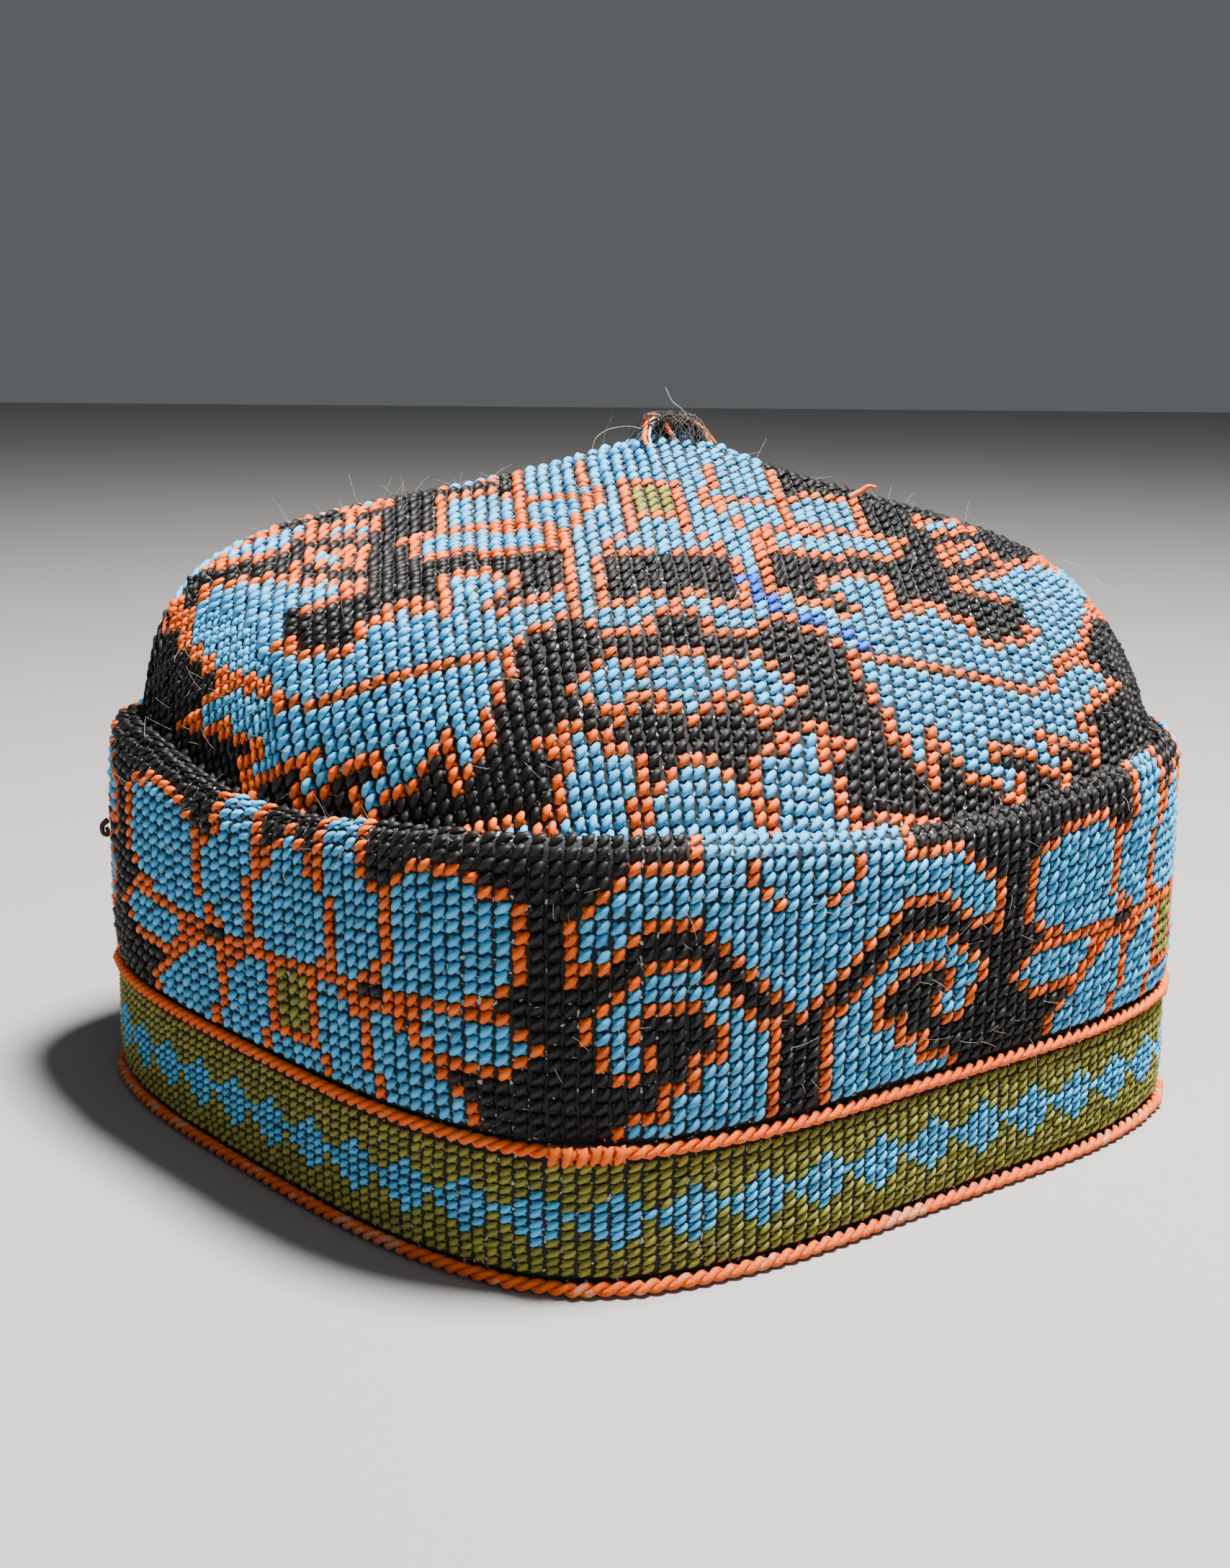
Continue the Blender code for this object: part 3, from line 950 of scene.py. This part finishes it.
# %% Where a place of the chart lies in the picture
FAR_COLUMN = 36
NEAR_ROW = 40
AXIS_TOP = (880, 600)
AXIS_LEAN = 90
AXIS_FALL = 320
AXIS_SPREAD = 155
WIDTH_AT_TOP = 620
WIDTH_GAIN = 90
WIDTH_SWELL = 260
RIGHT_NARROWING = 40
RIGHT_NARROWING_GAIN = 55
LEFT_NARROWING = 3
LEFT_NARROWING_GAIN = 47
RIGHT_DROOP = 95
RIGHT_DROOP_GAIN = 20
RIGHT_DROOP_SWELL = 90
RIGHT_CURVE = 1.7
LEFT_DROOP = 122
LEFT_DROOP_GAIN = 90
LEFT_CURVE = 2.2


def front_picture(column, row):
    """Pixels across and down, from the picture's upper left corner."""
    out = abs(column) / FAR_COLUMN
    near = row / NEAR_ROW
    swell = near ** 2 * (1 - near)
    width = WIDTH_AT_TOP + WIDTH_GAIN * near + WIDTH_SWELL * swell
    if column > 0:
        side = 1
        narrowing = RIGHT_NARROWING + RIGHT_NARROWING_GAIN * near * (2 - near)
        droop = RIGHT_DROOP + RIGHT_DROOP_GAIN * near + RIGHT_DROOP_SWELL * swell
        curve = RIGHT_CURVE
    else:
        side = -1
        narrowing = LEFT_NARROWING + LEFT_NARROWING_GAIN * near ** 3
        droop = LEFT_DROOP + LEFT_DROOP_GAIN * near
        curve = LEFT_CURVE
    across = AXIS_TOP[0] + AXIS_LEAN * near + side * (width * out - narrowing * out ** 3)
    down = AXIS_TOP[1] + AXIS_FALL * near + AXIS_SPREAD * near ** 3 + droop * out ** curve
    return across, down


# %% From the picture to the cloth
GRAZING = 0.05


def picture_ray(across, down):
    """The camera's ray through a place in the picture, in pixels from its upper left corner."""
    right = CAMERA_FORWARD.cross(CAMERA_UP)
    ray = CAMERA_FORWARD * FOCAL_PIXELS + right * (across - IMAGE_WIDTH / 2)
    return (ray + CAMERA_UP * (IMAGE_HEIGHT / 2 - down)).normalized()


def front_spot(column, row):
    """Where the ray of a place of the chart meets the crown, or nothing."""
    ray = picture_ray(*front_picture(column, row))
    spot, normal, _, _ = crown_tree.ray_cast(CAMERA_PLACE, ray)
    if spot is None or normal.dot(ray) > -GRAZING:
        return None
    return spot


# %% [markdown]
# The crown's flanks are steep, and there a place of the chart covers more cloth than a stitch can. Such
# a place is worked as several stitches of its colour. Stitches that would be too long or too askew
# are left out, and the back's stitches fill their places.

# %% Lay the front
STITCH = 0.0027
LONGEST = 0.0130
LONGEST_PART = 0.0046
SQUARENESS = 0.50
LEFT_COLUMN = -40
RIGHT_COLUMN = 37
FIRST_ROW = -2


def front_stitch(column, row, width, height):
    """Middle, across and up of a stitch, or nothing where it doesn't meet the cloth squarely."""
    steps = ((0, 0), (-width / 2, 0), (width / 2, 0), (0, height / 2), (0, -height / 2))
    around = [front_spot(column + i, row + j) for i, j in steps]
    if None in around:
        return None
    middle, left, right, below, above = around
    across = right - left
    up = above - below
    if across.cross(up).length < SQUARENESS * across.length * up.length:
        return None
    return middle, across, up


def worked(column, row):
    """The stitches of one place of the chart: middle, across, up, normal and letter of each."""
    whole = front_stitch(column, row, 1, 1)
    if whole is None or max(whole[1].length, whole[2].length) > LONGEST:
        return
    parts_across = max(1, round(whole[1].length / STITCH))
    parts_up = max(1, round(whole[2].length / STITCH))
    for i in range(parts_across):
        for j in range(parts_up):
            part_column = column + (i + 0.5) / parts_across - 0.5
            part_row = row + (j + 0.5) / parts_up - 0.5
            part = front_stitch(part_column, part_row, 1 / parts_across, 1 / parts_up)
            if part is None or max(part[1].length, part[2].length) > LONGEST_PART:
                continue
            normal = part[1].cross(part[2]).normalized()
            yield (*part, normal, crown_letter(column, row))


front_stitches = []
for column in range(LEFT_COLUMN, RIGHT_COLUMN + 1):
    for row in range(FIRST_ROW, CROWN_ROWS):
        front_stitches.extend(worked(column, row))
print("front of the crown:", len(front_stitches), "stitches")


# %% [markdown]
# ## Laying the crown's back
# The back isn't seen in the photograph. Its stitches count along the cloth from the peak, and its
# pattern mirrors the front's: each stitch takes the colour of the front stitch that lies nearest to
# its mirror image. It fills whatever the front has left bare.

# %% Feel the crown from the peak outwards
CROWN_MIDDLE = Vector((0.0038, -0.0010, 0.045))
CROWN_FRONT = math.radians(-82.5)
BACK_COLUMN = 0.00235
BACK_ROW = 0.00225
MERIDIANS = 96
MERIDIAN_TILTS = np.radians(np.arange(90.0, 2.0, -0.25))
ARC_STEP = 0.0005
LONGEST_ARC = 0.15


def crown_meridian(angle):
    """Points along the cloth from the peak out to the seam, one for each step of arc."""
    path = []
    for tilt in MERIDIAN_TILTS:
        ray = radial(angle) * math.cos(tilt) + UP * math.sin(tilt)
        spot, _, _, _ = crown_tree.ray_cast(CROWN_MIDDLE + ray * FEEL_FROM, -ray)
        if spot is None:
            break
        path.append(spot)
    path = np.array(path)
    length = lengths_along(path)
    steps = np.arange(0, LONGEST_ARC, ARC_STEP)
    outside = [np.interp(steps, length, path[:, axis]) for axis in range(3)]
    return np.stack(outside, 1), length[-1]


crown_turns = np.linspace(0, 2 * math.pi, MERIDIANS, endpoint=False)
found = [crown_meridian(CROWN_FRONT + turn) for turn in crown_turns]
crown_table = np.array([path for path, length in found])
crown_length = np.array([length for path, length in found])
print("peak to seam:", np.round(crown_length[::12] / MM, 1), "mm")


def back_spot(x, y):
    """Places on the crown of flat positions, and the cloth left up to the seam.

    x is to the right and y towards the front, both along the cloth from the peak.
    """
    arc = np.hypot(x, y)
    column = (np.arctan2(x, y) / (2 * math.pi) * MERIDIANS) % MERIDIANS
    low = np.floor(column).astype(int) % MERIDIANS
    high = (low + 1) % MERIDIANS
    share = (column - np.floor(column))[..., None]
    step = np.clip(arc / ARC_STEP, 0, crown_table.shape[1] - 2)
    near = np.floor(step).astype(int)
    along = (step - near)[..., None]
    inner = crown_table[low, near] * (1 - along) + crown_table[low, near + 1] * along
    outer = crown_table[high, near] * (1 - along) + crown_table[high, near + 1] * along
    limit = crown_length[low] * (1 - share[..., 0]) + crown_length[high] * share[..., 0]
    return inner * (1 - share) + outer * share, limit - arc


# %% Lay the back
SEAM_ROOM = 0.0010
BARE = 0.0019
REACH = 56

front_tree = KDTree(len(front_stitches))
for number, stitch in enumerate(front_stitches):
    front_tree.insert(stitch[0], number)
front_tree.balance()
counts = np.arange(-REACH, REACH + 1)
x, y = np.meshgrid(counts * BACK_COLUMN, counts * BACK_ROW, indexing="ij")
middle, room = back_spot(x, y)
across = back_spot(x + BACK_COLUMN / 2, y)[0] - back_spot(x - BACK_COLUMN / 2, y)[0]
up = back_spot(x, y - BACK_ROW / 2)[0] - back_spot(x, y + BACK_ROW / 2)[0]
back_stitches = []
for cell in np.argwhere(room > SEAM_ROOM):
    spot = Vector(middle[tuple(cell)])
    if front_tree.find(spot)[2] < BARE:
        continue
    behind = (spot - CROWN_MIDDLE).dot(radial(CROWN_FRONT))
    mirrored = spot - radial(CROWN_FRONT) * 2 * min(behind, 0.0)
    letter = front_stitches[front_tree.find(mirrored)[1]][4].replace("C", "B")
    side = Vector(across[tuple(cell)])
    rise = Vector(up[tuple(cell)])
    back_stitches.append((spot, side, rise, side.cross(rise).normalized(), letter))
print("back of the crown:", len(back_stitches), "stitches")


# %% Sew the crown
HALF_PIECES = 2


def places_of(stitches):
    """Arrays of the stitches' middles, across, up and normal vectors."""
    return [np.array([stitch[item] for stitch in stitches]) for item in range(4)]


for name, stitches in (("front", front_stitches), ("back", back_stitches)):
    stitches.sort(key=lambda stitch: stitch[0].x)
    for part, chosen in enumerate(np.array_split(np.arange(len(stitches)), HALF_PIECES)):
        picked = [stitches[number] for number in chosen]
        letters = [stitch[4] for stitch in picked]
        sew(f"crown_{name}_stitches_{part + 1}", places_of(picked), letters)


# %% [markdown]
# ## Cords
# Two orange cords run round the cap, above and below the band. Each is two plies of thread twisted
# round each other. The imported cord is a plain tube, so rays find its outer side all the way round,
# and a curve for each ply winds about the line half a thickness in from there. A round bevel makes
# the curve a ply. Both plies become one mesh, which takes the tube's place.

# %% Thread for cords, tuft and hairs
PALE = (0.55, 0.36, 0.22, 1.0)
FIBRE_DARK = (0.62, 0.60, 0.60, 1.0)
FIBRE_LIGHT = (1.15, 1.12, 1.10, 1.0)


def thread_material(name, colour, worn, wear_level, fuzz=0.06):
    """Twisted thread: a colour that wears to another in patches, with fine fibres."""
    material, shader = new_material(name, roughness=0.62, sheen=fuzz, specular=0.25)
    place = Wire.node("ShaderNodeTexCoord", output="Object")
    patches = Wire.node("ShaderNodeTexNoise", Vector=place, Scale=190.0, Detail=3.0)
    fibres = Wire.node("ShaderNodeTexNoise", Vector=place, Scale=2600.0, Detail=2.0)
    shade = mix_colour(fibres, FIBRE_DARK, FIBRE_LIGHT)
    wear = (patches > wear_level) * fibres
    thread = mix_colour(wear, colour, worn)
    Wire.feed(shader.inputs["Base Color"], mix_colour(1.0, thread, shade, "MULTIPLY"))
    add_bump(shader, fibres, 0.00015)
    return material


cord_thread = thread_material("orange_cord", (0.82, 0.110, 0.000, 1.0), (0.86, 0.18, 0.01, 1.0), 0.60)
hem_thread = thread_material("worn_cord", (0.76, 0.115, 0.001, 1.0), PALE, 0.57, 0.12)
dark_thread = thread_material("dark_thread", (0.020, 0.016, 0.015, 1.0), (0.10, 0.07, 0.05, 1.0), 0.55)
orange_thread = thread_material("orange_thread", (0.84, 0.13, 0.002, 1.0), PALE, 0.56)
pale_thread = thread_material("pale_thread", (0.58, 0.60, 0.66, 1.0), (0.80, 0.45, 0.30, 1.0), 0.50)
hair_thread = thread_material("stray_hair", (0.40, 0.34, 0.29, 1.0), (0.70, 0.68, 0.66, 1.0), 0.50, 0.1)


# %% Threads along lists of points
def tube(name, lines, radius, material, roundness=1, closed=False, tips=1.0):
    """Round threads, made as curves with a bevel and turned into one mesh.

    tips is the share of the radius that is left at a thread's end.
    """
    data = bpy.data.curves.new(name, "CURVE")
    data.dimensions = "3D"
    data.bevel_depth = radius
    data.bevel_resolution = roundness
    data.use_fill_caps = True
    for line in lines:
        spline = data.splines.new("POLY")
        spline.points.add(len(line) - 1)
        spline.points.foreach_set("co", flat(np.column_stack([line, np.ones(len(line))])))
        spline.points.foreach_set("radius", flat(np.linspace(1.0, tips, len(line))))
        spline.use_cyclic_u = closed
    piece = bpy.data.objects.new(name, data)
    bpy.context.scene.collection.objects.link(piece)
    deselect()
    piece.select_set(True)
    bpy.context.view_layer.objects.active = piece
    bpy.ops.object.convert(target="MESH")
    bpy.ops.object.shade_smooth()
    piece.data.materials.append(material)
    return piece


# %% Wind the plies
TURN_STEPS = 10
PLY_SHARE = 0.27


def cord_core(node_name, thickness, count):
    """The middle line of a packed cord, and the way outwards at each of its points."""
    tree = tree_of(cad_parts[node_name])
    low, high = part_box(node_name)
    height = (low[2] + high[2]) / 2
    angles = even_angles(tree, height, count, WALL_FLOWER_ANGLE)
    outer = np.array([level_hit(tree, angle, height) for angle in angles])
    along = np.roll(outer, -1, axis=0) - np.roll(outer, 1, axis=0)
    outward = np.cross(along, UP)
    outward /= np.linalg.norm(outward, axis=1, keepdims=True)
    return outer - outward * thickness / 2, outward


def twisted_cord(node_name, thickness, turns, material):
    """Two plies that wind about the middle line of a packed cord. Returns that line."""
    core, outward = cord_core(node_name, thickness, turns * TURN_STEPS)
    winding = np.arange(len(core)) / TURN_STEPS * 2 * math.pi
    ply_radius = thickness * PLY_SHARE
    plies = []
    for start in (0.0, math.pi):
        turn = (winding + start)[:, None]
        plies.append(core + (outward * np.cos(turn) + np.array(UP) * np.sin(turn)) * ply_radius)
    cord = tube(node_name + "_plies", plies, ply_radius, material, closed=True)
    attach(cord, "root")
    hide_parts(node_name)
    print(cord.name, len(cord.data.polygons), "faces")
    return core


band_core = twisted_cord("band_cord", thickness=0.0021, turns=118, material=cord_thread)
twisted_cord("hem_cord", thickness=0.0022, turns=112, material=hem_thread)


# %% Wrap the join at the front corner
JOIN_ANGLES = np.radians(np.linspace(-91.5, -86.0, 6))
JOIN_WIDTH = 0.0021
JOIN_HEIGHT = 0.0030
JOIN_OUT = 0.0009

core_angles = np.arctan2(band_core[:, 1], band_core[:, 0])
join_core = np.array([band_core[np.abs(core_angles - angle).argmin()] for angle in JOIN_ANGLES])
join_normal = np.array([radial(angle) for angle in JOIN_ANGLES])
join_middle = join_core + join_normal * JOIN_OUT
join_across = np.array([radial(angle + math.pi / 2) * JOIN_WIDTH for angle in JOIN_ANGLES])
join_up = np.tile((0.0, 0.0, JOIN_HEIGHT), (len(JOIN_ANGLES), 1))
join_places = (join_middle, join_across, join_up, join_normal)
sew("cord_join", join_places, "O" * len(JOIN_ANGLES))


# %% [markdown]
# ## Tuft and stray threads
# On the peak the working threads end in a frayed bunch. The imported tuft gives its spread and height.
# Dark fibres curl over the whole of it, orange and pale ends of floss loop to the left and droop to
# the right. Each is a bevelled curve whose points come from a small arc with a little chance in it.
# Two hairs over the peak, one on the right, an orange end and a dark knob of thread follow the
# photograph. The same curves make the fuzz of single fibres all over the cap.

# %% Arcs of thread from the peak
TUFT_LOW, TUFT_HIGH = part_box("peak_tuft")
TUFT_SUNK = 0.0012
TUFT_MIDDLE = np.array((
    (TUFT_LOW[0] + TUFT_HIGH[0]) / 2,
    (TUFT_LOW[1] + TUFT_HIGH[1]) / 2,
    TUFT_LOW[2] + TUFT_SUNK,
))
TUFT_REACH = (TUFT_HIGH[0] - TUFT_LOW[0]) / 2
TUFT_RISE = TUFT_HIGH[2] - TUFT_LOW[2]
TUFT_DROOP = 0.0038
ARC_STEPS = 9
ARC_SPAN = math.pi * 0.85
ARC_SHAKE = 0.00012
LEFT = math.radians(182)
RIGHT = math.radians(-10)


def tuft_arc(direction, reach, rise, start, curl):
    """A thread end: out from the peak, up, and down again towards the crown."""
    share = np.linspace(0.0, 1.0, ARC_STEPS)
    angle = direction + curl * share
    out = start + (reach - start) * share
    height = rise * np.sin(share * ARC_SPAN) - TUFT_DROOP * share ** 2
    points = np.stack([np.cos(angle) * out, np.sin(angle) * out, height], 1)
    return points + TUFT_MIDDLE + rng.normal(0, ARC_SHAKE, (ARC_STEPS, 3))


def some_arcs(count, reach, rise, curl):
    """Thread ends all round the peak, each of its own length, lift and curl."""
    arcs = []
    for number in range(count):
        direction = 2 * math.pi * (number + rng.random()) / count
        spread = TUFT_REACH * reach * rng.uniform(0.55, 1.0)
        lift = TUFT_RISE * rise * rng.uniform(0.5, 1.0)
        start = rng.uniform(0, 0.002)
        arcs.append(tuft_arc(direction, spread, lift, start, rng.normal(0, curl)))
    return arcs


def chosen_arcs(ends, start=0.001):
    """Thread ends given one by one: direction, and shares of the tuft's reach and rise, and curl."""
    return [
        tuft_arc(direction, TUFT_REACH * reach, TUFT_RISE * rise, start, curl)
        for direction, reach, rise, curl in ends
    ]


# %% Fray the tuft
ORANGE_ENDS = (
    (RIGHT - 0.20, 0.78, 0.34, 0.35),
    (RIGHT + 0.10, 0.88, 0.26, 0.35),
    (LEFT + 0.15, 1.00, 0.40, 0.9),
    (LEFT + 0.55, 0.80, 0.60, -1.1),
    (LEFT + 0.95, 0.70, 0.35, 0.7),
)
PALE_ENDS = (
    (LEFT + 0.35, 0.95, 0.50, 0.8),
    (LEFT + 0.75, 0.75, 0.45, -0.9),
    (LEFT - 0.10, 0.80, 0.30, 1.0),
)
PALE_DROOPING = ((RIGHT - 0.05, 0.80, 0.24, 0.3),)

dark_arcs = some_arcs(120, reach=0.95, rise=0.75, curl=1.8)
dark_fibres = tube("dark_fibres", dark_arcs, 0.00014, dark_thread, roundness=0, tips=0.5)
end_arcs = some_arcs(22, reach=0.70, rise=0.45, curl=0.6)
dark_ends = tube("dark_ends", end_arcs, 0.00048, dark_thread, tips=0.6)
orange_arcs = chosen_arcs(ORANGE_ENDS)
pale_arcs = chosen_arcs(PALE_ENDS) + chosen_arcs(PALE_DROOPING, start=0.002)
orange_ends = tube("orange_ends", orange_arcs, 0.00060, orange_thread, tips=0.7)
pale_ends = tube("pale_ends", pale_arcs, 0.00042, pale_thread, tips=0.6)
for piece in (dark_fibres, dark_ends, orange_ends, pale_ends):
    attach(piece, "root")
    print(piece.name, len(piece.data.polygons), "faces")
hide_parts("peak_tuft")


# %% Loose threads where the picture has them
CURLED_HAIR = ((822, 624), (826, 607), (845, 595), (872, 591), (902, 597))
UPRIGHT_HAIR = ((924, 538), (933, 558), (948, 568), (956, 582))
ORANGE_END = ((1180, 690), (1194, 683), (1206, 674), (1216, 677))
RIGHT_HAIR = ((1478, 778), (1510, 790), (1538, 822), (1548, 862), (1560, 902))
LEFT_KNOB = ((150, 1138), (141, 1146), (143, 1158), (152, 1160), (148, 1148))
PEAK_FRONT = Vector((0.0068, -0.0050, 0.1225))
RIGHT_CROWN = Vector((0.047, -0.015, 0.111))
RIGHT_SHOULDER = Vector((0.080, 0.010, 0.090))
LEFT_WALL = Vector((-0.092, -0.010, 0.052))
HAIR = 0.00006
FLOSS_END = 0.0006
SMOOTHINGS = 3


def picture_thread(name, spots, beside, radius, material):
    """A loose thread along places in the picture, at the distance of a point beside it."""
    line = []
    for across, down in spots:
        ray = picture_ray(across, down)
        away = (beside - CAMERA_PLACE).dot(CAMERA_FORWARD) / ray.dot(CAMERA_FORWARD)
        line.append(CAMERA_PLACE + ray * away)
    bow = resample(np.array(line), np.linspace(0, 1, 4 * len(line)))
    for smoothing in range(SMOOTHINGS):
        bow[1:-1] = (bow[:-2] + bow[1:-1] * 2 + bow[2:]) / 4
    piece = tube(name, [bow], radius, material, tips=0.6)
    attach(piece, "root")
    print(name, "through", len(spots), "places")


picture_thread("curled_hair", CURLED_HAIR, PEAK_FRONT, HAIR, hair_thread)
picture_thread("upright_hair", UPRIGHT_HAIR, PEAK_FRONT, HAIR, hair_thread)
picture_thread("orange_end", ORANGE_END, RIGHT_CROWN, FLOSS_END, orange_thread)
picture_thread("right_hair", RIGHT_HAIR, RIGHT_SHOULDER, HAIR, hair_thread)
picture_thread("left_knob", LEFT_KNOB, LEFT_WALL, FLOSS_END, dark_thread)


# %% Scatter single fibres over the cap
FUZZ_STEPS = 6
FUZZ_LEAN = 0.5


def stray_line(root, away, length, bend):
    """A fibre that leaves the cloth and bends over sideways."""
    share = np.linspace(0.0, 1.0, FUZZ_STEPS)[:, None]
    side = np.array(Vector(away).cross(Vector(rng.normal(0, 1, 3))).normalized())
    return root + away * share * length + side * share ** 2 * length * bend


def fuzz(name, places, count, reach, radius, chosen_for):
    """Fibres that rise from stitches picked by chance."""
    middle, _, _, normal = places
    lines = []
    for number in rng.choice(len(middle), count, replace=False):
        lean = normal[number] + rng.normal(0, FUZZ_LEAN, 3)
        length = reach * rng.uniform(0.4, 1.0)
        bend = rng.uniform(0.5, 1.6)
        lines.append(stray_line(middle[number], lean / np.linalg.norm(lean), length, bend))
    piece = tube(name, lines, radius, hair_thread, roundness=0, tips=0.4)
    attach(piece, "root")
    print(name, count, "fibres")


crown_places = places_of(front_stitches + back_stitches)
wall_flat = [item.reshape(-1, 3) for item in wall_places]
fuzz("crown_fuzz", crown_places, count=650, reach=0.0042, radius=0.000032, chosen_for="embroidered_cloth")
fuzz("wall_fuzz", wall_flat, count=460, reach=0.0038, radius=0.000032, chosen_for="embroidered_cloth")
fuzz("band_fuzz", band_places, count=120, reach=0.0026, radius=0.000026, chosen_for="band_cloth")
